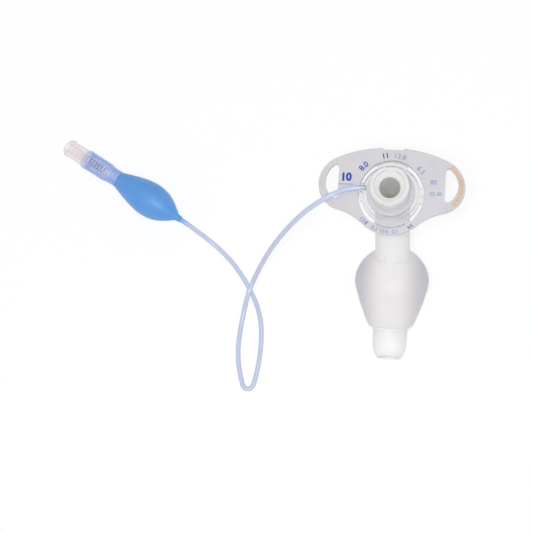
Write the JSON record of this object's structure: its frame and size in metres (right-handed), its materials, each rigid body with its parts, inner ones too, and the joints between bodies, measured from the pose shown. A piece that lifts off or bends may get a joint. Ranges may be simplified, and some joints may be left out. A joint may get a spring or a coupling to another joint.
{
  "type": "tracheostomy tube",
  "caption": "Cuffed tracheostomy tube: curved cannula with tapered cuff, swivelling winged neck flange, removable inner cannula, pilot line, balloon and luer valve.",
  "frame": {"origin": "middle of the flange's window, on the flat back face that lies on the neck", "axes": "+Z out of the neck along the hub, +Y towards the chin, -Y the way the cannula bends"},
  "size_m": [0.17, 0.102, 0.08],
  "materials": {
    "flange_plastic": "moulded, pale translucent, satin",
    "clear_plastic": "moulded, clear",
    "white_tube": "extruded, warm white, satin",
    "cuff_film": "blown film, translucent",
    "connector_white": "moulded, white, satin",
    "line_tube": "extruded soft tube, pale lavender",
    "balloon_blue": "blown film, translucent blue, gloss",
    "luer_white": "moulded, pinkish white",
    "ivory_plastic": "moulded, ivory",
    "seal_rubber": "moulded rubber",
    "spring_wire": "drawn steel wire"
  },
  "bodies": {
    "cannula": {"hub": "clear_plastic", "outer_cannula": "white_tube", "cuff": "cuff_film", "pilot_line": "line_tube", "pilot_balloon": "balloon_blue", "valve_housing": "luer_white", "valve_spring": "spring_wire", "valve_retainer": "luer_white"},
    "flange": {"neck_flange": "flange_plastic"},
    "inner": {"inner_cannula": "white_tube", "inner_cannula_connector": "connector_white"},
    "plunger": {"valve_plunger": "ivory_plastic", "valve_seal": "seal_rubber"}
  },
  "joints": [
    {"name": "flange_swivel", "type": "hinge", "parent": "cannula", "child": "flange", "pos_m": [0, 0, 0.0012], "axis": [1, 0, 0], "range_deg": [-20, 20]},
    {"name": "inner_withdraw", "type": "hinge", "parent": "cannula", "child": "inner", "pos_m": [0, -0.055, 0], "axis": [1, 0, 0], "range_deg": [0, 96]},
    {"name": "valve_press", "type": "slide", "parent": "cannula", "child": "plunger", "axis": [0.8566, -0.5086, 0.0874], "range_m": [0, 0.0012], "stiffness_N_per_m": 150, "springref_m": -0.0005, "deforming": ["valve_spring"]}
  ]
}
